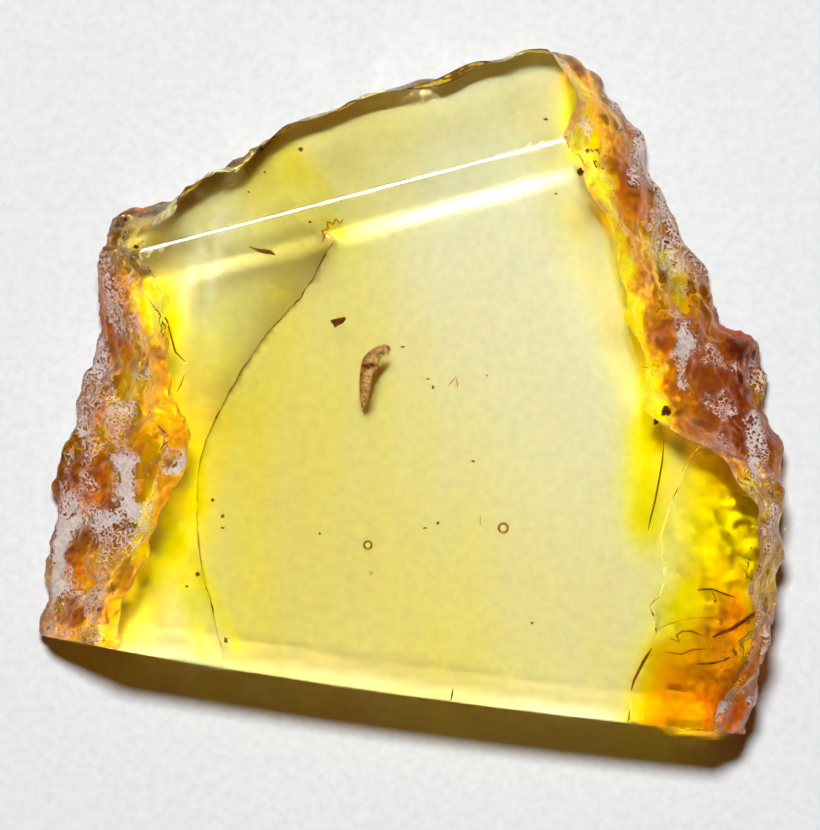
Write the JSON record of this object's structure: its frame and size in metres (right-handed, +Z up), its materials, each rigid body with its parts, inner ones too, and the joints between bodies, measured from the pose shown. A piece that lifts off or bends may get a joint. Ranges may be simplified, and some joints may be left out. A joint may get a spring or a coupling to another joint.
{
  "type": "insect in amber",
  "caption": "Polished slab of clear amber with a rough weathered rind, holding a small insect and scraps of bark and wood.",
  "frame": {"origin": "middle of the lump's overall box, on the surface that it rests on", "axes": "+X along its longest side, seen from above with the sawn front edge towards -Y; +Z up out of the polished top face"},
  "size_m": [0.0304, 0.0278, 0.005],
  "materials": {
    "amber": "polished clear yellow fossil resin, with a rough orange-brown weathered rind",
    "chitin": "dull tan insect cuticle",
    "bark": "dark red-brown bark",
    "wood": "amber-stained wood fibre"
  },
  "bodies": {
    "root": {"amber_lower": "amber", "amber_upper": "amber", "insect": "chitin", "bark_flake": "bark", "bark_bit": "bark", "wood_splinter": "wood"}
  },
  "joints": []
}
